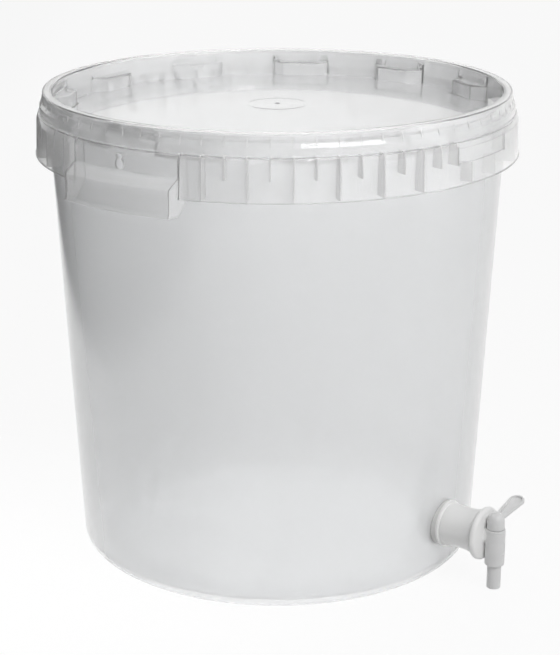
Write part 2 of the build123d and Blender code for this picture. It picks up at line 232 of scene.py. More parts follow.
# %% Sizes of the tub
TUB_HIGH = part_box("tub")[1].z / MM
RIM_RADIUS = 182.2
BASE_RADIUS = 163.0
WALL = 2.0
FLOOR_LIFT = 3.0
FLOOR_HIGH = 5.4
FOOT_INNER = 144.0
FOOT_SLOPE = 3.0
BEAD_OUT = 1.0
BEAD_TOP = TUB_HIGH - 1.2
BEAD_BOTTOM = BEAD_TOP - 2.4
BEAD_START = BEAD_BOTTOM - 2.2
TAP_HIGH = 45.0
SHANK_HOLE = 13.5
HOLE_FROM = 140
HOLE_TO = 180


def wall_radius(height):
    """Outer radius of the leaning wall at a height: it grows evenly from the base to the rim."""
    return BASE_RADIUS + (RIM_RADIUS - BASE_RADIUS) * np.asarray(height) / TUB_HIGH


print("tub", TUB_HIGH, "mm high, wall leans out by", round(RIM_RADIUS - BASE_RADIUS, 1), "mm")

# %% Tub wall and floor
tub_corners = [
    (0, FLOOR_LIFT),
    (FOOT_INNER - FOOT_SLOPE, FLOOR_LIFT),
    (FOOT_INNER, 0),
    (BASE_RADIUS, 0),
    (wall_radius(BEAD_START), BEAD_START),
    (RIM_RADIUS + BEAD_OUT, BEAD_BOTTOM),
    (RIM_RADIUS + BEAD_OUT, BEAD_TOP),
    (RIM_RADIUS, TUB_HIGH),
    (RIM_RADIUS - WALL, TUB_HIGH),
    (wall_radius(FLOOR_HIGH) - WALL, FLOOR_HIGH),
    (0, FLOOR_HIGH),
]
tub_radii = [0, 2, 1.5, 9, 0.6, 0.5, 0.5, 0.6, 0.8, 7, 0]
TAP_LINE = {"origin": (0, 0, TAP_HIGH), "along": (0, -1, 0), "start": (1, 0, 0)}
hole_corners = [(0, HOLE_FROM), (SHANK_HOLE, HOLE_FROM), (SHANK_HOLE, HOLE_TO), (0, HOLE_TO)]
tub_wall = turned("tub_wall", rounded(tub_corners, tub_radii, 8))
hole = turned("shank_hole", hole_corners, 64, **TAP_LINE)
fit(combine(tub_wall, [hole]), "bucket", "milky_plastic", ["tub"])

# %% [markdown]
# Below the rim a collar hangs free of the wall: a flat ledge that the lid comes down to, a bevel,
# and a skirt with a thin bead along its lower edge. Two grips interrupt it. It is the same section
# all the way, so it is turned through two part turns. The pull tab over the tap is only a thinner
# field of the skirt with a slot at each end, so it is cut out of the finished collar.

# %% Sizes of the collar
LEDGE_HIGH = TUB_HIGH - 15
LEDGE_RADIUS = RIM_RADIUS + 6.8
BEVEL_DROP = 5
BEVEL_OUT = 1.5
BEVEL_HIGH = LEDGE_HIGH - BEVEL_DROP
BEVEL_RADIUS = LEDGE_RADIUS + BEVEL_OUT
SKIRT_LOW = BEVEL_HIGH - 27.7
SKIRT_DRAFT = 1
SKIRT_RADIUS = BEVEL_RADIUS + SKIRT_DRAFT
SKIRT_WALL = 1.6
SKIRT_BEAD = 0.6
SKIRT_BEAD_TOP = SKIRT_LOW + 1.2
ROOT_SINK = 0.8
GRIP_HALF = 49.6
GRIP_WALL = 1.8
collar_start = np.degrees(np.arcsin((GRIP_HALF - GRIP_WALL / 2) / SKIRT_RADIUS))
print("collar starts", round(collar_start, 2), "degrees from the middle of a grip")

# %% Collar between the grips
COLLAR_COLUMNS = 140
collar_line = [
    (wall_radius(LEDGE_HIGH) - ROOT_SINK, LEDGE_HIGH),
    (LEDGE_RADIUS, LEDGE_HIGH),
    (BEVEL_RADIUS, BEVEL_HIGH),
    (SKIRT_RADIUS, SKIRT_BEAD_TOP),
    (SKIRT_RADIUS + SKIRT_BEAD, SKIRT_LOW + SKIRT_BEAD),
    (SKIRT_RADIUS + SKIRT_BEAD, SKIRT_LOW),
    (SKIRT_RADIUS - SKIRT_WALL, SKIRT_LOW),
]
inner_line = moved_in(collar_line[:4], SKIRT_WALL)[:3]
collar_radii = [0.1, 0.9, 0.8, 0.3, 0.25, 0.3, 0.3, 0.6, 0.6, 0.1]
collar_section = rounded(collar_line + inner_line[::-1].tolist(), collar_radii, 4)[::-1]


def part_turn(name, section, first, last, columns):
    """A section carried from one azimuth to another, both in degrees from the tap."""
    return swept(name, spin(section, np.radians(np.linspace(first, last, columns))))


front_collar = part_turn("front_collar", collar_section, collar_start - 90, 90 - collar_start, COLLAR_COLUMNS)
print("collar section has", len(collar_section), "points")

# %% Pull tab
TAB_HALF = 9.5
TAB_LOW = BEVEL_HIGH - 11
TAB_THINNER = 0.7
TAB_CUT_TO = 197
SLOT = 0.6
SLOT_FROM = 186
SLOT_TO = 195
SLOT_EXTRA = 1


def ring_cutter(name, radius_low, radius_high, low, high, first, last, columns=24):
    """A block bent round the axis, between two radii, two heights and two azimuths."""
    section = [(radius_low, low), (radius_high, low), (radius_high, high), (radius_low, high)]
    return part_turn(name, section, first, last, columns)


def slot_cutter(start):
    """A narrow upright slot through the skirt that starts at an azimuth."""
    low, high = TAB_LOW - SLOT_EXTRA, BEVEL_HIGH + SLOT_EXTRA
    return ring_cutter("tab_slot", SLOT_FROM, SLOT_TO, low, high, start, start + SLOT, 3)


tab_field = ring_cutter(
    "tab_field", BEVEL_RADIUS - TAB_THINNER, TAB_CUT_TO, TAB_LOW, BEVEL_HIGH, -TAB_HALF, TAB_HALF
)
combine(front_collar, [tab_field, slot_cutter(-TAB_HALF - SLOT), slot_cutter(TAB_HALF)])
back_collar = part_turn(
    "back_collar", collar_section, 90 + collar_start, 270 - collar_start, COLLAR_COLUMNS
)
collar_parts = [back_collar]
print("pull tab spans", 2 * TAB_HALF, "degrees over the tap")

# %% [markdown]
# Thin webs tie the skirt to the wall, long and short by turns, and show through it as grey bars.
# They could be placed one by one, but they are one flat outline repeated: the outline is computed
# once, and an array of azimuths turns it into all copies in a single step.

# %% Plates in radial planes
PLATE_SHARP_DEGREES = 20


def plates(name, outline, thickness, azimuths):
    """Copies of a flat plate that stands in radial planes: each point goes out by its radius in the
    direction of its azimuth, and sideways by half the thickness."""
    radius, height = np.asarray(outline).T
    a = np.radians(azimuths)
    out = np.stack([np.sin(a), -np.cos(a), 0 * a], 1)[:, None, None]
    side = np.stack([np.cos(a), np.sin(a), 0 * a], 1)[:, None, None]
    half = np.array([-0.5, 0.5])[None, :, None, None] * thickness
    up = np.array([0, 0, 1.0])
    points = out * radius[:, None] + side * half + up * height[:, None]
    count = len(outline)
    base = np.arange(len(a))[:, None] * 2 * count
    near = base + np.arange(count)
    far = near + count
    rims = np.stack([near, np.roll(near, -1, 1), np.roll(far, -1, 1), far], -1).reshape(-1, 4)
    faces = near.tolist() + far[:, ::-1].tolist() + rims.tolist()
    return new_mesh(name, points, faces, PLATE_SHARP_DEGREES)


def web_radius(height):
    """Radius of the middle of the skirt at a height."""
    return BEVEL_RADIUS + SKIRT_DRAFT * (BEVEL_HIGH - height) / (BEVEL_HIGH - SKIRT_LOW) - SKIRT_WALL / 2


def rib_outline(low, high):
    """Corners of one web between the wall and the middle of the skirt."""
    bend = min(high, BEVEL_HIGH)
    top_radius = web_radius(BEVEL_HIGH) - (high - bend) * BEVEL_OUT / BEVEL_DROP
    return [
        (wall_radius(low) - ROOT_SINK, low),
        (web_radius(low), low),
        (web_radius(bend), bend),
        (top_radius, high),
        (wall_radius(high) - ROOT_SINK, high),
    ]


# %% Ribs behind the skirt
RIB_TOP = LEDGE_HIGH - SKIRT_WALL / 2
RIB_LOW = SKIRT_LOW + 0.6
SHORT_SHARE = 0.52
SHORT_RIB = RIB_TOP - SHORT_SHARE * (RIB_TOP - RIB_LOW)
RIB_WALL = 1.2
RIB_SPACING = 5
GRIP_CLEAR = 16
rib_azimuths = np.arange(-180, 180, RIB_SPACING)
free = (np.abs(np.abs(rib_azimuths) - 90) > GRIP_CLEAR) & (rib_azimuths != 0)
under_tab = np.abs(rib_azimuths) < TAB_HALF
beside_tab = (np.abs(rib_azimuths) < TAB_HALF + RIB_SPACING / 2) & ~under_tab
odd = (rib_azimuths // RIB_SPACING) % 2 == 1
rib_groups = {
    "low_ribs": (rib_outline(RIB_LOW, TAB_LOW - SKIRT_WALL / 2), under_tab),
    "short_ribs": (rib_outline(SHORT_RIB, RIB_TOP), (odd | beside_tab) & ~under_tab),
    "long_ribs": (rib_outline(RIB_LOW, RIB_TOP), ~odd & ~beside_tab & ~under_tab),
}
for name, (outline, chosen) in rib_groups.items():
    fit(plates(name, outline, RIB_WALL, rib_azimuths[free & chosen]), "bucket", "milky_plastic")

# %% [markdown]
# Each grip is a stepped panel with room for the fingers behind it. The mould opens sideways there,
# so the two ends are parallel, not radial: the section is carried along a straight path across the
# grip, and each point keeps its distance from the tub's axis. A full block and the finger room are
# made that way, and the room and the eye are cut from the block.

# %% Sections of a grip
FACE_LOW = BEVEL_HIGH - 12.3
SHOULDER_LOW = FACE_LOW - 6.7
GRIP_LOW = SHOULDER_LOW - 21
PANEL_RADIUS = BEVEL_RADIUS + 10.5
LIP = 1.6
LIP_HIGH = 3.5
END_CUT = 11.0
ROOM_LOW = GRIP_LOW - 9
grip_line = [
    (wall_radius(LEDGE_HIGH) - ROOT_SINK, LEDGE_HIGH),
    (LEDGE_RADIUS, LEDGE_HIGH),
    (BEVEL_RADIUS, BEVEL_HIGH),
    (BEVEL_RADIUS, FACE_LOW),
    (PANEL_RADIUS, SHOULDER_LOW),
    (PANEL_RADIUS, GRIP_LOW + LIP_HIGH),
    (PANEL_RADIUS + LIP, GRIP_LOW),
]
block_corners = grip_line + [
    (float(wall_radius(GRIP_LOW)) + END_CUT, GRIP_LOW),
    (float(wall_radius(SKIRT_LOW)) - ROOT_SINK, SKIRT_LOW),
]
block_section = rounded(block_corners, [0.1, 0.9, 0.8, 1.2, 1.6, 1.5, 0.5, 0.8, 0.1], 5)
room_line = moved_in(grip_line, GRIP_WALL)[1:]
room_corners = room_line.tolist() + [
    (room_line[-1][0], ROOM_LOW),
    (BASE_RADIUS, ROOM_LOW),
    (BASE_RADIUS, room_line[0][1]),
]
room_section = rounded(room_corners, [0.4, 0.4, 1.0, 1.0, 1.0, 0, 0, 0, 0], 5)
print("grip panel stands", round(PANEL_RADIUS - BEVEL_RADIUS, 1), "mm out from the collar")

# %% Grips
EYE_HIGH = BEVEL_HIGH - 7.5
EYE_RADIUS = 4.2
EYE_OPEN = 25
NOTCH_HALF = 3.5
EYE_FROM = LEDGE_RADIUS - 4
EYE_TO = BEVEL_RADIUS + 3


def across(section, half_width, side, columns=48):
    """A section carried straight across a grip: a point at radius r and place y lies at
    x = square root of r squared less y squared, on the side given by the sign."""
    radius, height = np.asarray(section).T
    y = np.linspace(-half_width, half_width, columns)[None, :]
    x = side * np.sqrt(radius[:, None] ** 2 - y**2)
    return np.stack(np.broadcast_arrays(x, y, height[:, None]), -1)


def eye_cutter(side):
    """A prism along X with the outline of the eye: a circle that opens upwards into a notch. The
    circle leaves out the degrees of the opening on each side of its top."""
    a = np.linspace(radians(90 + EYE_OPEN), radians(450 - EYE_OPEN), 40)
    circle = np.stack([EYE_RADIUS * np.cos(a), EYE_HIGH + EYE_RADIUS * np.sin(a)], 1)
    outline = np.concatenate([circle, [(NOTCH_HALF, BEVEL_HIGH), (-NOTCH_HALF, BEVEL_HIGH)]])
    x = side * np.array([EYE_FROM, EYE_TO])
    y, z = outline.T[:, :, None]
    return swept("eye", np.stack(np.broadcast_arrays(x[None, :], y, z), -1))


for side, name in ((1, "right_grip"), (-1, "left_grip")):
    grip = swept(name, across(block_section, GRIP_HALF, side))
    room = swept("finger_room", across(room_section, GRIP_HALF - GRIP_WALL, side))
    collar_parts.append(combine(grip, [room, eye_cutter(side)]))
    print(name, len(grip.data.polygons), "faces")

# %% [markdown]
# Skirt and grips are one moulding, and the plastic is clear enough to show any face left inside it.
# Pieces that only overlap would draw dark lines there, so the collar and both grips are joined for
# good. The ribs stay apart: they are seen edge on, through more plastic than the skirt, and a grey
# painted into a finish of their own stands in for the shade that this gives the real ones.

# %% One collar
front_collar.name = "collar"
fit(combine(front_collar, collar_parts, "UNION"), "bucket", "milky_plastic")

# %% [markdown]
# The lid is one thin sheet of even thickness that folds up and down: a shallow dome, the wall of
# the recess, the rim channel that snaps over the tub, and an outer wall with a step. So only its
# upper line is drawn, and the underside is that line moved in by the wall. Two traces of moulding
# stay in the middle: a nub where the plastic went in, and a faint ring round it.

# %% Sizes of the lid
LID_WALL = 1.5
LID_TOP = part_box("lid")[1].z / MM
RECESS_FLOOR = LID_TOP - 21.8
DOME = 7.0
PLUG_GAP = 0.5
SNAP_GAP = 0.35
BAND_HIGH = 7.4
BAND_DRAFT = 0.9
STEP_OUT = 1.6
OUTER_DRAFT = 0.5
BAND_RADIUS = RIM_RADIUS + BEAD_OUT + SNAP_GAP + LID_WALL
BAND_LOW = LID_TOP - BAND_HIGH
STEP_LOW = BAND_LOW - 3.1
STEP_RADIUS = BAND_RADIUS + BAND_DRAFT + STEP_OUT
LID_LOW = LID_TOP - 16


def recess_radius(height):
    """Radius of the recess wall, which follows the inside of the tub at a small gap."""
    return wall_radius(height) - WALL - PLUG_GAP - LID_WALL


print("lid reaches", round(STEP_RADIUS, 2), "mm from the axis and", LID_TOP, "mm up")

# %% Dome of the lid
RING_RADIUS = 24
RING_HIGH = 0.18
RING_SOFTNESS = 0.35
NUB_RADIUS = 1.6
NUB_HIGH = 0.5
NUB_SOFTNESS = 0.2


def raised(radius, edge, high, softness):
    """A low round plateau: half its height, times one less the hyperbolic tangent of how far the
    radius lies past the edge, over twice the softness."""
    return high / 2 * (1 - np.tanh((radius - edge) / (2 * softness)))


def dome_height(radius):
    """The dome falls with the square of the radius. A faint ring and a central nub stand on it."""
    fall = (radius / recess_radius(RECESS_FLOOR)) ** 2
    ring = raised(radius, RING_RADIUS, RING_HIGH, RING_SOFTNESS)
    nub = raised(radius, NUB_RADIUS, NUB_HIGH, NUB_SOFTNESS)
    return RECESS_FLOOR + DOME * (1 - fall) + ring + nub


nub_radii = np.linspace(0.6, 3, 7)
inside_ring = np.linspace(8, 20, 3)
ring_radii = np.linspace(22, 26, 9)
outside_ring = np.linspace(32, 172, 18)
dome_radii = np.concatenate([[0], nub_radii, inside_ring, ring_radii, outside_ring])
dome = np.stack([dome_radii, dome_height(dome_radii)], 1)
print("dome rises", round(dome[0, 1] - RECESS_FLOOR, 2), "mm over the recess")

# %% Lid
rim_line = np.array([
    (recess_radius(RECESS_FLOOR), RECESS_FLOOR),
    (recess_radius(LID_TOP), LID_TOP),
    (BAND_RADIUS, LID_TOP),
    (BAND_RADIUS + BAND_DRAFT, BAND_LOW),
    (STEP_RADIUS, STEP_LOW),
    (STEP_RADIUS + OUTER_DRAFT, LID_LOW),
])
lid_line = np.concatenate([dome, rim_line])
lid_under = moved_in(lid_line, LID_WALL)
lid_under[0, 0] = 0
upper_radii = np.concatenate([np.zeros(len(dome)), [1.6, 1.0, 0.9, 0.5, 0.5, 0.5]])
under_radii = np.concatenate([np.zeros(len(dome)), [0.6, 0.3, 0.3, 0.5, 0.5, 0.5]])
lid_corners = np.concatenate([lid_line, lid_under[::-1]])
lid_section = rounded(lid_corners, np.concatenate([upper_radii, under_radii[::-1]]), 5)
lid_base = turned("lid_base", lid_section)
print("lid section has", len(lid_section), "points")

# %% [markdown]
# Twelve hollow lugs stand round the recess. A second bucket's foot drops inside them. Seen from
# above, a lug is a trapezoid that widens towards the wall. Its skin follows that outline up the
# side, rounds over the edge and closes across the top in straight lines to the wall. One lug is
# computed, and turning it by twelve angles gives them all. The lid's own wall is cut away behind.

# %% Plan of a lug
LUGS = 12
LUG_TOP = RECESS_FLOOR + 12
LUG_REACH = 11.5
LUG_FACE = recess_radius(RECESS_FLOOR) - LUG_REACH
LUG_HALF = 15.0
LUG_SLANT = 9.5 / LUG_REACH
LUG_CORNER = 1.6
CORNER_STEPS = 6
RUN_ON = 30


def around(points, copies):
    """Copies of a grid of points, turned evenly about the upright axis, as one array."""
    a = full_turn(copies)
    x, y, z = np.moveaxis(np.asarray(points), -1, 0)
    cos, sin = (f(a).reshape(-1, *[1] * x.ndim) for f in (np.cos, np.sin))
    return np.stack(np.broadcast_arrays(cos * x - sin * y, sin * x + cos * y, z), -1)


def lug_outline(inset, back_radius):
    """Plan of a lug from root to root, moved in by an inset: three runs with rounded corners. The
    outline is closed a little way behind the roots, and that closing part is left off again."""
    slope = np.hypot(1, LUG_SLANT)
    face = LUG_FACE + inset
    half = LUG_HALF + LUG_SLANT * inset - slope * inset
    root = half + LUG_SLANT * (back_radius - face)
    behind = back_radius + RUN_ON
    corners = [(behind, -root), (back_radius, -root), (face, -half), (face, half), (back_radius, root),
               (behind, root)]
    plan = rounded(corners, [0, 0, LUG_CORNER, LUG_CORNER, 0, 0], CORNER_STEPS)
    one_corner = CORNER_STEPS + 1
    return plan[one_corner:-one_corner]


print(LUGS, "lugs,", 2 * LUG_HALF, "mm wide at the face")

# %% Skin and hollow of the lugs
LUG_EDGE = 0.8
LUG_SHOULDER = LUG_TOP - 5
SHELF_BACK = float(recess_radius(LUG_TOP)) + 0.6
POCKET_BACK = float(recess_radius(LUG_TOP)) + 1.2
POCKET_INSET = 0.9
POCKET_LOW = RECESS_FLOOR - 12
POCKET_TOP = LUG_TOP - 0.9


def at_height(plan, height):
    """A plan's points with a height added to each."""
    return np.column_stack([plan, np.full(len(plan), height)])


def lug_skin():
    """Grid of a lug's skin: rows climb the side, round the top edge by a quarter circle, and cross
    to the wall in straight lines."""
    turn = np.linspace(0, pi / 2, 5)
    insets = np.concatenate([[0, 0], LUG_EDGE * (1 - np.cos(turn))])
    climb = [RECESS_FLOOR - 1, LUG_SHOULDER]
    heights = np.concatenate([climb, LUG_TOP - LUG_EDGE + LUG_EDGE * np.sin(turn)])
    rows = [at_height(lug_outline(inset, SHELF_BACK), height) for inset, height in zip(insets, heights)]
    edge = rows[-1]
    wall_line = edge.copy()
    wall_line[:, 0] = SHELF_BACK
    wall_line[:, 1] = np.linspace(edge[0, 1], edge[-1, 1], len(edge))
    shares = np.linspace(0, 1, 5)[1:, None, None]
    return np.concatenate([rows, edge + (wall_line - edge) * shares])


def open_grids(name, grids):
    """Several open grids of the same size in one mesh."""
    copies, rows, columns = grids.shape[:3]
    faces = np.array(grid_faces(rows, columns, False, False))
    offsets = np.arange(copies)[:, None, None] * rows * columns
    return new_mesh(name, grids, (faces + offsets).reshape(-1, 4).tolist())


def pocket_cutters():
    """The hollow behind each lug: its plan moved in, from below the lid to just under the shelf."""
    plan = lug_outline(POCKET_INSET, POCKET_BACK)
    grid = np.stack([at_height(plan, POCKET_LOW), at_height(plan, POCKET_TOP)], 1)
    rows, columns = grid.shape[:2]
    faces = grid_faces(rows, columns, close_columns=False) + end_faces(rows, columns)
    numbered = [[v + c * rows * columns for v in f] for c in range(LUGS) for f in faces]
    return new_mesh("lug_pockets", around(grid, LUGS), numbered)


one_lug = lug_skin()
print("skin of one lug has", one_lug.shape[0], "rows of", one_lug.shape[1], "points")

# %% Lugs on the lid
combine(lid_base, [pocket_cutters()])
lugs = open_grids("stacking_lugs", around(one_lug, LUGS))
skin = lugs.modifiers.new("skin", "SOLIDIFY")
skin.thickness = LID_WALL * MM
skin.offset = -1
combine(lugs, [])
fit(combine(lid_base, [lugs], "UNION"), "lid", "milky_lid_plastic", ["lid"])

# %% [markdown]
# Small three-cornered gussets stiffen the step of the lid's outer wall, and light catches on their
# edges as a row of short bright ticks. They are part of the same moulding, but inside the lid's own
# clear sheet they would vanish, so they are a piece of their own with a whiter, less clear finish:
# a painted highlight that stands in for the ticks. They are flat plates in radial planes, like the
# ribs, so the same function makes them.

# %% Gussets in the step of the lid
GUSSET_HIGH = 4.6
GUSSET_SINK = 0.25
GUSSET_WALL = 0.9
GUSSET_SPACING = 5
gusset = [
    (BAND_RADIUS + BAND_DRAFT * (1 - GUSSET_HIGH / BAND_HIGH) - GUSSET_SINK, BAND_LOW + GUSSET_HIGH),
    (BAND_RADIUS + BAND_DRAFT - LID_WALL / 2, BAND_LOW),
    (STEP_RADIUS - GUSSET_SINK, STEP_LOW),
]
gusset_azimuths = np.arange(0, 360, GUSSET_SPACING)
fit(plates("lid_gussets", gusset, GUSSET_WALL, gusset_azimuths), "lid", "milky_lid_plastic")

# %% [markdown]
# The tap is thick opaque plastic, so its sections can simply run into each other where parts join.
# Its body lies on a level line that points away from the tub: shank, flange, a groove that takes
# the load off the washer, a waisted barrel and a disc. The shank's thread is cut as a run of fine
# ridges, which is all that shows of it past the nut.

# %% Sizes of the tap body
WALL_SEAT = float(wall_radius(TAP_HIGH))
FLANGE_SEAT = WALL_SEAT + 3
GROOVE = FLANGE_SEAT + 2
BARREL = GROOVE + 1.6
BARREL_LONG = 28
DISC = BARREL + BARREL_LONG
DISC_END = DISC + 5
VALVE = DISC_END + 7.5
INNER_WASHER = 3.5
NUT_HIGH = 8
SHANK_PROUD = 2.5
SHANK_END = WALL_SEAT - WALL - INNER_WASHER - NUT_HIGH - SHANK_PROUD
SHANK_BORE = 10
SHANK_RADIUS = 13
FLANGE_RADIUS = 18.6
GROOVE_RADIUS = 16.2
BARREL_RADIUS = 17.3
BARREL_WAIST = 0.9
BARREL_FLARE = 1.6
FLARE_RADIUS = 19.0
DISC_RADIUS = 21.2
THREAD_PITCH = 1.8
THREAD_DEPTH = 0.55
THREAD_FROM = SHANK_END + 0.4
THREAD_TO = FLANGE_SEAT - 1
print("tap reaches", round(VALVE, 1), "mm from the tub's axis to its valve")

# %% Tap body
thread_places = np.arange(THREAD_FROM, THREAD_TO, THREAD_PITCH / 2)
thread_radii = SHANK_RADIUS - THREAD_DEPTH * (np.arange(len(thread_places)) % 2)
waist_places = np.linspace(BARREL, DISC, 17)
share = (waist_places - BARREL) / BARREL_LONG
waist = BARREL_RADIUS - BARREL_WAIST * np.sin(pi * share) + BARREL_FLARE * share**6
body_corners = [
    (0, DISC),
    (SHANK_BORE, DISC),
    (SHANK_BORE, SHANK_END),
    *zip(thread_radii, thread_places),
    (SHANK_RADIUS, FLANGE_SEAT),
    (FLANGE_RADIUS, FLANGE_SEAT),
    (FLANGE_RADIUS, GROOVE),
    (GROOVE_RADIUS, GROOVE),
    (GROOVE_RADIUS, BARREL),
    *zip(waist[:-1], waist_places[:-1]),
    (FLARE_RADIUS, DISC),
    (DISC_RADIUS, DISC),
    (DISC_RADIUS, DISC_END),
    (0, DISC_END),
]
thread_rounding = [0.12] * len(thread_places)
waist_rounding = [0] * (len(waist) - 2)
body_radii = [0, 0, 0.4, *thread_rounding, 0.3, 0.6, 0.6, 0.5, 0.5, 0.5, *waist_rounding, 2.0, 1.8, 2.6, 0]
tap_body = turned("tap_body_skin", rounded(body_corners, body_radii, 4), 128, **TAP_LINE)
fit(tap_body, "bucket", "white_plastic", ["tap_body"])

# %% [markdown]
# Across the end of the barrel stands the valve housing, an upright sleeve with a fine groove round
# its top, a wider mouth below and a bare sunk panel in front. A short round neck with a hollow
# curve at its foot ties it to the disc. Both are turned, and only the panel is cut.

# %% Neck of the valve
NECK_SINK = 2
NECK_FOOT = 8.4
NECK_RADIUS = 6.5
neck_corners = [
    (0, DISC_END - NECK_SINK),
    (NECK_FOOT, DISC_END - NECK_SINK),
    (NECK_FOOT, DISC_END),
    (NECK_RADIUS, DISC_END),
    (NECK_RADIUS, VALVE),
    (0, VALVE),
]
neck = turned("tap_neck", rounded(neck_corners, [0, 0, 0, 1.8, 0, 0], 8), 64, **TAP_LINE)
fit(neck, "bucket", "white_plastic")

# %% Valve housing
HOUSING_LOW = TAP_HIGH - 23.5
HOUSING_TOP = TAP_HIGH + 6.5
HOUSING_RADIUS = 7.8
HOUSING_BORE = 5.95
MOUTH_RADIUS = 6.4
MOUTH_TOP = HOUSING_LOW + 2
FINE_GROOVE_RADIUS = 7.55
PANEL_HALF = 2.7
PANEL_HALF_HIGH = 5.2
PANEL_CORNER = 0.8
PANEL_MIDDLE = TAP_HIGH - 9
PANEL_FLOOR = 6.9
PANEL_CUT_TO = 9.0
VALVE_LINE = {"origin": (0, -VALVE, 0)}
housing_corners = [
    (MOUTH_RADIUS, HOUSING_LOW),
    (HOUSING_RADIUS, HOUSING_LOW),
    (HOUSING_RADIUS, HOUSING_TOP - 2.4),
    (FINE_GROOVE_RADIUS, HOUSING_TOP - 2.3),
    (FINE_GROOVE_RADIUS, HOUSING_TOP - 1.9),
    (HOUSING_RADIUS, HOUSING_TOP - 1.8),
    (HOUSING_RADIUS, HOUSING_TOP),
    (HOUSING_BORE, HOUSING_TOP),
    (HOUSING_BORE, MOUTH_TOP),
    (MOUTH_RADIUS, MOUTH_TOP),
]
housing_radii = [0.4, 0.9, 0.05, 0.05, 0.05, 0.05, 0.5, 0.3, 0, 0]
housing = turned("valve_housing", rounded(housing_corners, housing_radii, 5), 96, **VALVE_LINE)
panel_corners = [
    (-PANEL_HALF, -PANEL_HALF_HIGH),
    (PANEL_HALF, -PANEL_HALF_HIGH),
    (PANEL_HALF, PANEL_HALF_HIGH),
    (-PANEL_HALF, PANEL_HALF_HIGH),
]
panel = rounded(panel_corners, PANEL_CORNER, 5) + [0, PANEL_MIDDLE]
depths = -(VALVE + np.array([PANEL_FLOOR, PANEL_CUT_TO]))
x, z = panel.T[:, :, None]
sunk_panel = swept("sunk_panel", np.stack(np.broadcast_arrays(x, depths[None, :], z), -1))
fit(combine(housing, [sunk_panel]), "bucket", "white_plastic")

# %% [markdown]
# The plug is one moulding: a domed cap, a lever, a stem in the housing and the spout below. It is
# turned about the upright line of the valve, and it rides on its own body, so that it follows the
# lever. A bore runs up the spout, because its open end can be seen from below.

# %% Plug and spout
CAP_LOW = HOUSING_TOP + 0.3
CAP_RADIUS = 6.9
CAP_SIDE = CAP_LOW + 6.3
STEM_RADIUS = 5.9
SPOUT_RADIUS = 5.5
SPOUT_TOP = HOUSING_LOW - 0.8
SPOUT_LOW = 1.5
WATERWAY = 3
cap_turn = np.linspace(0, pi / 2, 14)
cap_dome = np.stack([CAP_RADIUS * np.cos(cap_turn), CAP_SIDE + CAP_RADIUS * np.sin(cap_turn)], 1)
plug_corners = [
    (0, TAP_HIGH + WATERWAY),
    (WATERWAY, TAP_HIGH + WATERWAY),
    (WATERWAY, SPOUT_LOW),
    (SPOUT_RADIUS, SPOUT_LOW),
    (SPOUT_RADIUS, SPOUT_TOP),
    (STEM_RADIUS, SPOUT_TOP),
    (STEM_RADIUS, CAP_LOW),
    (CAP_RADIUS, CAP_LOW),
    *cap_dome[:-1],
    (0, cap_dome[-1, 1]),
]
plug_radii = [0, 0.3, 0.5, 0.7, 0, 0.2, 0, 0.6, *[0] * len(cap_dome)]
plug = turned("tap_plug_skin", rounded(plug_corners, plug_radii, 5), 96, **VALVE_LINE)
fit(plug, "tap_plug", "white_plastic", ["tap_plug"])

# %% [markdown]
# The lever is a thin paddle that widens to its tip and has a shallow hollow on top. Its outline is
# the hull of two circles. It could be a plate with bevelled edges and a cut, but its rows can be
# such hulls too, each at its own height, which rounds the edges and hollows the top in one grid.

# %% Outline of the lever
LEVER_SLOPE = radians(9)
LEVER_ROOT = CAP_LOW + 7.0
LEVER_END = 32.5
ROOT_HALF = 3.6
TIP_HALF = 6.2
LEVER_HALF = 1.7
LOW_EDGE = 1.1
TOP_EDGE = 0.5
HOLLOW_START = 10
HOLLOW_HALF = 1.3
HOLLOW_RIM = 1.5
HOLLOW_FLOOR = -0.3
HOLLOW_ROWS = ((-0.15, 1.7), (0, 1.55), (0.15, 0.1), (0.5, -0.25))
FIRST_TURN = 0.01


def hull_row(start, start_radius, end, end_radius, height, turns):
    """Closed row round two circles on one line: for each direction it takes the circle that
    reaches further that way, and the point of that circle in that direction."""
    c, s = np.cos(turns), np.sin(turns)
    far = end * c + end_radius > start * c + start_radius
    centre = np.where(far, end, start)
    radius = np.where(far, end_radius, start_radius)
    return np.stack([centre + radius * c, radius * s, np.full(len(turns), height)], 1)


def lever_rows():
    """Rows of the lever from its underside, round its lower and upper edge and down into the hollow
    on top. Round an edge, a row moves in by radius * (1 - cos angle) and up by radius * sin angle.
    The directions start a little off the lever's line, so that none of them lies square to it."""
    turns = full_turn(72) + FIRST_TURN
    rows = [hull_row(0, 0, LEVER_END, 0, -LEVER_HALF, turns)]
    low_edge = (LOW_EDGE, LOW_EDGE - LEVER_HALF, np.linspace(-pi / 2, 0, 5))
    top_edge = (TOP_EDGE, LEVER_HALF - TOP_EDGE, np.linspace(0, pi / 2, 4))
    for radius, middle, angles in (low_edge, top_edge):
        for angle in angles:
            inset = radius * (1 - np.cos(angle))
            height = middle + radius * np.sin(angle)
            rows.append(hull_row(0, ROOT_HALF - inset, LEVER_END, TIP_HALF - inset, height, turns))
    for inset, height in HOLLOW_ROWS:
        tip = TIP_HALF - HOLLOW_RIM - inset
        rows.append(hull_row(HOLLOW_START, HOLLOW_HALF - inset, LEVER_END, tip, height, turns))
    rows.append(hull_row(HOLLOW_START, 0, LEVER_END, 0, HOLLOW_FLOOR, turns))
    return np.array(rows)


rows = lever_rows()
print("lever has", rows.shape[0], "rows of", rows.shape[1], "points")

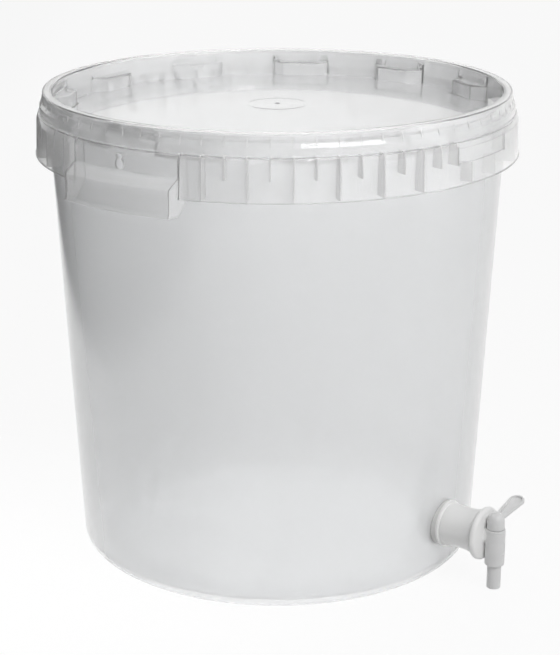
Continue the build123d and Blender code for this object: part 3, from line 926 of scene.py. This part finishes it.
# %% Lever
along = np.array([np.cos(LEVER_SLOPE), 0, np.sin(LEVER_SLOPE)])
upward = np.array([-np.sin(LEVER_SLOPE), 0, np.cos(LEVER_SLOPE)])
sideways = np.array([0, 1.0, 0])
root = np.array([0, -VALVE, LEVER_ROOT])
lever_points = root + rows[..., :1] * along + rows[..., 1:2] * sideways + rows[..., 2:] * upward
lever = new_mesh("tap_lever", lever_points, grid_faces(*rows.shape[:2], close_rows=False))
fit(lever, "tap_plug", "white_plastic")

# %% [markdown]
# Plastic is never quite even. The milky sheet of the tub holds faint clouds and flow lines, and
# its surface carries a fine grain from the mould. Those effects are shared by several finishes, so
# they are node groups: one gives the clouds as a mask and a colour, the other a height for the
# bump. The shader itself stays in each material, where its plain values can be read.


# %% Helpers for nodes
def socket(group, name, kind, way, value=None):
    """One named socket on a node group."""
    made = group.interface.new_socket(name, in_out=way, socket_type=kind)
    if value is not None:
        made.default_value = value


def ramp(nodes, links, value, span, levels=(0, 1), interpolation="LINEAR"):
    """A Map Range node: a value that runs over a span becomes one that runs between two levels."""
    node = nodes.new("ShaderNodeMapRange")
    node.interpolation_type = interpolation
    for name, number in zip(("From Min", "From Max", "To Min", "To Max"), (*span, *levels)):
        node.inputs[name].default_value = number
    links.new(value, node.inputs["Value"])
    return node


# %% Clouds in the plastic
def cloud_group():
    """Colour and mask of faint clouds: noise stretched upwards, mixed between two tints."""
    group = bpy.data.node_groups.new("plastic_clouds", "ShaderNodeTree")
    socket(group, "Light Tint", "NodeSocketColor", "INPUT", (0.9, 0.9, 0.9, 1))
    socket(group, "Dark Tint", "NodeSocketColor", "INPUT", (0.8, 0.8, 0.8, 1))
    socket(group, "Scale", "NodeSocketFloat", "INPUT", 9.0)
    socket(group, "Stretch", "NodeSocketFloat", "INPUT", 0.35)
    socket(group, "Colour", "NodeSocketColor", "OUTPUT")
    socket(group, "Mask", "NodeSocketFloat", "OUTPUT")
    nodes, links = group.nodes, group.links
    entry, result = nodes.new("NodeGroupInput"), nodes.new("NodeGroupOutput")
    place, split, join = (nodes.new(kind) for kind in (
        "ShaderNodeTexCoord", "ShaderNodeSeparateXYZ", "ShaderNodeCombineXYZ"))
    squeeze = nodes.new("ShaderNodeMath")
    squeeze.operation = "MULTIPLY"
    noise = nodes.new("ShaderNodeTexNoise")
    noise.inputs["Detail"].default_value = 3.0
    noise.inputs["Roughness"].default_value = 0.5
    mix = nodes.new("ShaderNodeMix")
    mix.data_type = "RGBA"
    links.new(place.outputs["Object"], split.inputs[0])
    links.new(split.outputs["X"], join.inputs["X"])
    links.new(split.outputs["Y"], join.inputs["Y"])
    links.new(split.outputs["Z"], squeeze.inputs[0])
    links.new(entry.outputs["Stretch"], squeeze.inputs[1])
    links.new(squeeze.outputs[0], join.inputs["Z"])
    links.new(join.outputs[0], noise.inputs["Vector"])
    links.new(entry.outputs["Scale"], noise.inputs["Scale"])
    mask = ramp(nodes, links, noise.outputs[0], (0.3, 0.7)).outputs[0]
    links.new(mask, mix.inputs["Factor"])
    links.new(entry.outputs["Light Tint"], mix.inputs["A"])
    links.new(entry.outputs["Dark Tint"], mix.inputs["B"])
    links.new(mix.outputs["Result"], result.inputs["Colour"])
    links.new(mask, result.inputs["Mask"])
    return group


CLOUDS = cloud_group()
print("node group:", CLOUDS.name)


# %% Grain of the mould
def grain_group():
    """Height and roughness of a fine moulded grain."""
    group = bpy.data.node_groups.new("moulded_grain", "ShaderNodeTree")
    socket(group, "Scale", "NodeSocketFloat", "INPUT", 900.0)
    socket(group, "Smooth", "NodeSocketFloat", "INPUT", 0.2)
    socket(group, "Rough", "NodeSocketFloat", "INPUT", 0.3)
    socket(group, "Height", "NodeSocketFloat", "OUTPUT")
    socket(group, "Roughness", "NodeSocketFloat", "OUTPUT")
    nodes, links = group.nodes, group.links
    entry, result = nodes.new("NodeGroupInput"), nodes.new("NodeGroupOutput")
    place = nodes.new("ShaderNodeTexCoord")
    noise = nodes.new("ShaderNodeTexNoise")
    noise.inputs["Detail"].default_value = 2.0
    links.new(place.outputs["Object"], noise.inputs["Vector"])
    links.new(entry.outputs["Scale"], noise.inputs["Scale"])
    links.new(noise.outputs[0], result.inputs["Height"])
    roughness = ramp(nodes, links, noise.outputs[0], (0.35, 0.65))
    links.new(entry.outputs["Smooth"], roughness.inputs["To Min"])
    links.new(entry.outputs["Rough"], roughness.inputs["To Max"])
    links.new(roughness.outputs[0], result.inputs["Roughness"])
    return group


GRAIN = grain_group()
print("node group:", GRAIN.name)

# %% [markdown]
# The tub and lid let light through but scatter it on the way. A glass shader would be too clear and
# an opaque white too dead. The finish here is a diffuse milk with part of the light sent on through
# a slightly rough transmission, so that what lies behind blurs with its distance. A lamp's light
# would stop at the first such wall, though the real sheet hands most of it on, and the layers
# behind would stay black. So a shadow ray, which asks whether a lamp can be seen, passes in part.


# %% Plastics
def let_shadow_rays_pass(nodes, links, shader, share):
    """Mixes a clear shader in for shadow rays alone, by the share of light that the sheet passes."""
    path, through = nodes.new("ShaderNodeLightPath"), nodes.new("ShaderNodeMath")
    clear, choice = nodes.new("ShaderNodeBsdfTransparent"), nodes.new("ShaderNodeMixShader")
    through.operation = "MULTIPLY"
    through.inputs[1].default_value = share
    links.new(path.outputs["Is Shadow Ray"], through.inputs[0])
    links.new(through.outputs[0], choice.inputs[0])
    links.new(shader.outputs[0], choice.inputs[1])
    links.new(clear.outputs[0], choice.inputs[2])
    links.new(choice.outputs[0], nodes["Material Output"].inputs["Surface"])


def plastic(name, light, dark, smooth, rough, transmission=0.0, ior=1.49, coat=0.0, coat_roughness=0.08,
            passes_light=0.0, cloud_scale=9.0, stretch=0.35, grain_scale=900.0, bump=0.002):
    """A moulded plastic: clouds between a light and a dark tint give its colour, and grain its bump
    and its roughness, which lies between smooth and rough."""
    material = bpy.data.materials.new(name)
    material.use_nodes = True
    nodes, links = material.node_tree.nodes, material.node_tree.links
    shader = nodes["Principled BSDF"]
    clouds, grain, relief = (nodes.new(kind) for kind in (
        "ShaderNodeGroup", "ShaderNodeGroup", "ShaderNodeBump"))
    clouds.node_tree, grain.node_tree = CLOUDS, GRAIN
    clouds.inputs["Light Tint"].default_value = (*light, 1)
    clouds.inputs["Dark Tint"].default_value = (*dark, 1)
    clouds.inputs["Scale"].default_value = cloud_scale
    clouds.inputs["Stretch"].default_value = stretch
    grain.inputs["Scale"].default_value = grain_scale
    grain.inputs["Smooth"].default_value = smooth
    grain.inputs["Rough"].default_value = rough
    relief.inputs["Strength"].default_value = bump
    relief.inputs["Distance"].default_value = MM
    links.new(clouds.outputs["Colour"], shader.inputs["Base Color"])
    links.new(grain.outputs["Roughness"], shader.inputs["Roughness"])
    links.new(grain.outputs["Height"], relief.inputs["Height"])
    links.new(relief.outputs["Normal"], shader.inputs["Normal"])
    shader.inputs["IOR"].default_value = ior
    shader.inputs["Transmission Weight"].default_value = transmission
    shader.inputs["Coat Weight"].default_value = coat
    shader.inputs["Coat Roughness"].default_value = coat_roughness
    if passes_light:
        let_shadow_rays_pass(nodes, links, shader, passes_light)
    return material


# %% Finishes of this bucket
finish_values = {
    "milky_plastic": dict(
        light=(0.96, 0.965, 0.97), dark=(0.93, 0.935, 0.94), smooth=0.16, rough=0.20,
        transmission=0.68, ior=1.25, coat=0.6, passes_light=0.72,
    ),
    # The ribs' darker grey is painted shade, for the shade of plastic seen edge on.
    "milky_rib": dict(
        light=(0.86, 0.86, 0.86), dark=(0.82, 0.82, 0.82), smooth=0.06, rough=0.10, transmission=0.55,
        ior=1.3, passes_light=0.75,
    ),
    "milky_collar": dict(
        light=(0.97, 0.97, 0.97), dark=(0.955, 0.955, 0.955), smooth=0.03, rough=0.06,
        transmission=0.84, ior=1.25, coat=0.1, passes_light=0.87,
    ),
    "milky_lid_plastic": dict(
        light=(0.965, 0.965, 0.965), dark=(0.95, 0.95, 0.95), smooth=0.03, rough=0.06,
        transmission=0.90, ior=1.2, coat=0.2, coat_roughness=0.2, passes_light=0.9, cloud_scale=14.0,
        stretch=1.0,
    ),
    # The gussets' whiter, less clear finish is a painted highlight for the bright ticks on their edges.
    "milky_tick": dict(
        light=(0.98, 0.98, 0.98), dark=(0.96, 0.96, 0.96), smooth=0.2, rough=0.25, transmission=0.72,
        ior=1.3, passes_light=0.75, cloud_scale=14.0, stretch=1.0,
    ),
    "white_plastic": dict(
        light=(0.97, 0.97, 0.965), dark=(0.95, 0.95, 0.945), smooth=0.36, rough=0.46, cloud_scale=60.0,
        stretch=1.0, grain_scale=1600.0, bump=0.05,
    ),
    # The valve's darker grey is painted shade: its finish is darkened for the shade that falls on it.
    "grey_valve_plastic": dict(
        light=(0.82, 0.82, 0.82), dark=(0.78, 0.78, 0.78), smooth=0.32, rough=0.42, cloud_scale=60.0,
        stretch=1.0, grain_scale=1600.0, bump=0.05,
    ),
    "washer_rubber": dict(
        light=(0.80, 0.80, 0.79), dark=(0.74, 0.74, 0.73), smooth=0.5, rough=0.62, cloud_scale=80.0,
        stretch=1.0, grain_scale=1200.0, bump=0.12,
    ),
    "seal_rubber": dict(
        light=(0.74, 0.74, 0.73), dark=(0.66, 0.66, 0.65), smooth=0.5, rough=0.62, cloud_scale=90.0,
        stretch=1.0, grain_scale=1400.0, bump=0.12,
    ),
}
FINISHES = {name: plastic(name, **values) for name, values in finish_values.items()}
print("finishes:", ", ".join(FINISHES))

# %% [markdown]
# Most pieces wear the finish that the solid model names for them. A few differ within one moulding,
# such as the clearer collar, the ribs, whose grey is painted shade, the gussets, whose whiter finish
# is a painted highlight, and the valve, painted darker than the tap's body for the shade that falls
# on it. They are listed by name, which is easier to read than a rule for each.

# %% Finish of each piece
FINISH_OF_PIECE = {
    "collar": "milky_collar",
    "low_ribs": "milky_rib",
    "short_ribs": "milky_rib",
    "long_ribs": "milky_rib",
    "lid_gussets": "milky_tick",
    "valve_housing": "grey_valve_plastic",
    "tap_plug_skin": "grey_valve_plastic",
    "tap_lever": "grey_valve_plastic",
}
slot_of_node = {row["node"]: row["material_slot"] for row in frame["record"]["subparts"]}
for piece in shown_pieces():
    finish_name = FINISH_OF_PIECE.get(piece.name) or piece.get("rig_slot") or slot_of_node[piece.name]
    piece.data.materials.clear()
    piece.data.materials.append(FINISHES[finish_name])

# %% [markdown]
# The camera stands where the picture was taken from. Rim and base are both circles, and how much
# rounder the base looks than the rim gives the camera's pitch and its distance. It could be placed
# by eye, but then no edge would line up with the picture.

# %% Camera
CAMERA_RADIUS = 1.3988
CAMERA_HIGH = 0.63125
CAMERA_AZIMUTH = radians(-53.45)
CAMERA_PITCH = radians(18.04)
SENSOR = 36.0
FRAME_PIXELS = 655
FOCAL_PIXELS = 1777.2
AXIS_OFFSET_PIXELS = 2.55
toward = np.array([-np.sin(CAMERA_AZIMUTH), np.cos(CAMERA_AZIMUTH)])
camera_right = np.array([toward[1], -toward[0]])
camera = bpy.data.objects.new("camera", bpy.data.cameras.new("camera"))
bpy.context.scene.collection.objects.link(camera)
camera.location = (*(-CAMERA_RADIUS * toward), CAMERA_HIGH)
sight = Vector((*(np.cos(CAMERA_PITCH) * toward), -np.sin(CAMERA_PITCH)))
camera.rotation_euler = sight.to_track_quat("-Z", "Y").to_euler()
camera.data.sensor_width = SENSOR
camera.data.lens = SENSOR * FOCAL_PIXELS / FRAME_PIXELS
camera.data.shift_x = AXIS_OFFSET_PIXELS / FRAME_PIXELS
bpy.context.scene.camera = camera
print("camera at", np.round(camera.location, 3), "lens", round(camera.data.lens, 2))

# %% [markdown]
# The picture is a product shot on white. The white is not light on the bucket: it is only what the
# camera meets when it looks past it. The see-through plastic bends and mirrors rays, and they meet
# the white only in a region straight behind the bucket. Elsewhere they meet the room itself, which
# is dark on the left and brighter on the right, and that gives the milky wall its greys.


# %% White behind the bucket
def white_for_sight(nodes, links, region, weight=1.0):
    """A mask for the white behind the object: the weight for camera rays anywhere, and for glossy
    and transmission rays inside a region."""
    path = nodes.new("ShaderNodeLightPath")
    bent, inside, seen, scale = (nodes.new("ShaderNodeMath") for _ in range(4))
    bent.operation = seen.operation = "MAXIMUM"
    inside.operation = scale.operation = "MULTIPLY"
    links.new(path.outputs["Is Transmission Ray"], bent.inputs[0])
    links.new(path.outputs["Is Glossy Ray"], bent.inputs[1])
    links.new(bent.outputs[0], inside.inputs[0])
    links.new(region, inside.inputs[1])
    links.new(path.outputs["Is Camera Ray"], seen.inputs[0])
    links.new(inside.outputs[0], seen.inputs[1])
    links.new(seen.outputs[0], scale.inputs[0])
    scale.inputs[1].default_value = weight
    return scale.outputs[0]


def along_direction(nodes, links, output, direction, span, levels):
    """A level that depends on how far a place or a ray lies in a level direction: the dot product of
    the two, mapped smoothly from a span to two levels."""
    place, dot = nodes.new("ShaderNodeTexCoord"), nodes.new("ShaderNodeVectorMath")
    dot.operation = "DOT_PRODUCT"
    dot.inputs[1].default_value = (*direction, 0)
    links.new(place.outputs[output], dot.inputs[0])
    return ramp(nodes, links, dot.outputs["Value"], span, levels, "SMOOTHSTEP").outputs[0]


# %% Room
ROOM_LEVELS = (0.04, 0.38)
ROOM_SPAN = (-0.9, 0.7)
ROOM_TURN = radians(30)
BACKDROP_SPAN = (0.5, 0.9)
WHITE = (1, 1, 1, 1)
world = bpy.data.worlds.new("studio")
bpy.context.scene.world = world
world.use_nodes = True
nodes, links = world.node_tree.nodes, world.node_tree.links
room = nodes["Background"]
room.inputs["Color"].default_value = WHITE
bright_way = np.cos(ROOM_TURN) * camera_right + np.sin(ROOM_TURN) * toward
room_level = along_direction(nodes, links, "Generated", bright_way, ROOM_SPAN, ROOM_LEVELS)
links.new(room_level, room.inputs["Strength"])
backdrop = nodes.new("ShaderNodeBackground")
backdrop.inputs["Color"].default_value = WHITE
backdrop_region = along_direction(nodes, links, "Generated", toward, BACKDROP_SPAN, (0, 1))
choice = nodes.new("ShaderNodeMixShader")
links.new(white_for_sight(nodes, links, backdrop_region), choice.inputs[0])
links.new(room.outputs[0], choice.inputs[1])
links.new(backdrop.outputs[0], choice.inputs[2])
links.new(choice.outputs[0], nodes["World Output"].inputs["Surface"])
print("room is", ROOM_LEVELS[0], "on its dark side and", ROOM_LEVELS[1], "on its bright side")

# %% [markdown]
# The bucket stands on a pale table that ends at its left, where the wall mirrors something darker.
# A soft pool of light is painted on it at the front left as a glow in its own colour, and a painted
# glow under the floor of the tub stands in for the light that the real floor gathers. The white for
# the eye covers most of the paint but not all of it, so the bucket's own shadow still shows. More
# lamps would brighten the bucket as well.

# %% Table
TABLE_REACH = 6000
TABLE_COLUMNS = 48
TABLE_EDGE = -0.45
EDGE_FADE = 0.15
OFF_TABLE = 0.08
TABLE_DARK = (0.05, 0.05, 0.05, 1)
TABLE_PALE = (0.82, 0.82, 0.82, 1)
TABLE_WHITE_WEIGHT = 0.92
table_points = spin([(0, 0), (TABLE_REACH, 0)], full_turn(TABLE_COLUMNS))
floor = new_mesh("floor", table_points, grid_faces(2, TABLE_COLUMNS, False))
paint = bpy.data.materials.new("table_white")
paint.use_nodes = True
nodes, links = paint.node_tree.nodes, paint.node_tree.links
table = nodes["Principled BSDF"]
table.inputs["Roughness"].default_value = 0.6
edge_span = (TABLE_EDGE - EDGE_FADE, TABLE_EDGE)
on_table = along_direction(nodes, links, "Object", camera_right, edge_span, (OFF_TABLE, 1))
shade = nodes.new("ShaderNodeMix")
shade.data_type = "RGBA"
shade.inputs["A"].default_value = TABLE_DARK
shade.inputs["B"].default_value = TABLE_PALE
links.new(on_table, shade.inputs["Factor"])
links.new(shade.outputs["Result"], table.inputs["Base Color"])
floor.data.materials.append(paint)
print("table ends", -TABLE_EDGE, "m to the left of the bucket's axis")

# %% Painted light on the table
# The pool and the brighter glow under the base are painted light, made by the table's own emission and not by
# lamps.
POOL_LEVEL = 0.5
POOL_LEFT = 0.22
POOL_NEAR = 0.12
POOL_SPAN = (0.05, 0.4)
BASE_GLOW = 1.5
BASE_SPAN = (0.12, 0.148)
pool_place = -POOL_LEFT * camera_right - POOL_NEAR * toward
spot, shift, from_axis, from_pool = (nodes.new(kind) for kind in (
    "ShaderNodeTexCoord", "ShaderNodeVectorMath", "ShaderNodeVectorMath", "ShaderNodeVectorMath"))
shift.operation = "SUBTRACT"
shift.inputs[1].default_value = (*pool_place, 0)
from_axis.operation = from_pool.operation = "LENGTH"
links.new(spot.outputs["Object"], from_axis.inputs[0])
links.new(spot.outputs["Object"], shift.inputs[0])
links.new(shift.outputs[0], from_pool.inputs[0])
pool = ramp(nodes, links, from_pool.outputs["Value"], POOL_SPAN, (POOL_LEVEL, 0), "SMOOTHSTEP")
table.inputs["Emission Color"].default_value = WHITE
links.new(pool.outputs[0], table.inputs["Emission Strength"])
glow, blend = nodes.new("ShaderNodeEmission"), nodes.new("ShaderNodeMixShader")
painted_glow_under_base = ramp(nodes, links, from_axis.outputs["Value"], BASE_SPAN, (BASE_GLOW, 1))
links.new(painted_glow_under_base.outputs[0], glow.inputs["Strength"])
links.new(white_for_sight(nodes, links, on_table, TABLE_WHITE_WEIGHT), blend.inputs[0])
links.new(table.outputs[0], blend.inputs[1])
links.new(glow.outputs[0], blend.inputs[2])
links.new(blend.outputs[0], nodes["Material Output"].inputs["Surface"])
print("pool of light at", np.round(pool_place, 3))

# %% [markdown]
# Three soft lamps light the bucket. A wide one overhead gives the plain level, a broad one high at
# the right draws the bright bar on the lid and shades the tap, and a faint narrow strip at the far
# left draws a thin line of light down the wall. Small strong lamps would light it too, but milky
# plastic in a studio shows broad lights with soft edges.

# %% Lamps
LAMP_AIM = (0, 0, 0.2)


def lamp(name, azimuth, distance, height, size, power):
    """A rectangular lamp at an azimuth from the camera's side, in degrees to the camera's right."""
    a = CAMERA_AZIMUTH + radians(azimuth)
    data = bpy.data.lights.new(name, "AREA")
    data.shape = "RECTANGLE"
    data.size, data.size_y = size
    data.energy = power
    piece = bpy.data.objects.new(name, data)
    bpy.context.scene.collection.objects.link(piece)
    piece.location = (distance * np.sin(a), -distance * np.cos(a), height)
    piece.rotation_euler = (Vector(LAMP_AIM) - piece.location).to_track_quat("-Z", "Y").to_euler()
    piece.visible_camera = False
    print(name, power, "watts from", np.round(piece.location, 2))


lamp("top_lamp", azimuth=20, distance=0.3, height=1.6, size=(1.2, 1.2), power=3.8)
lamp("main_lamp", azimuth=32, distance=1.05, height=1.0, size=(0.75, 0.32), power=7.4)
lamp("left_strip", azimuth=-96, distance=0.62, height=0.42, size=(0.06, 0.57), power=0.14)
bpy.context.scene.view_settings.view_transform = "Standard"
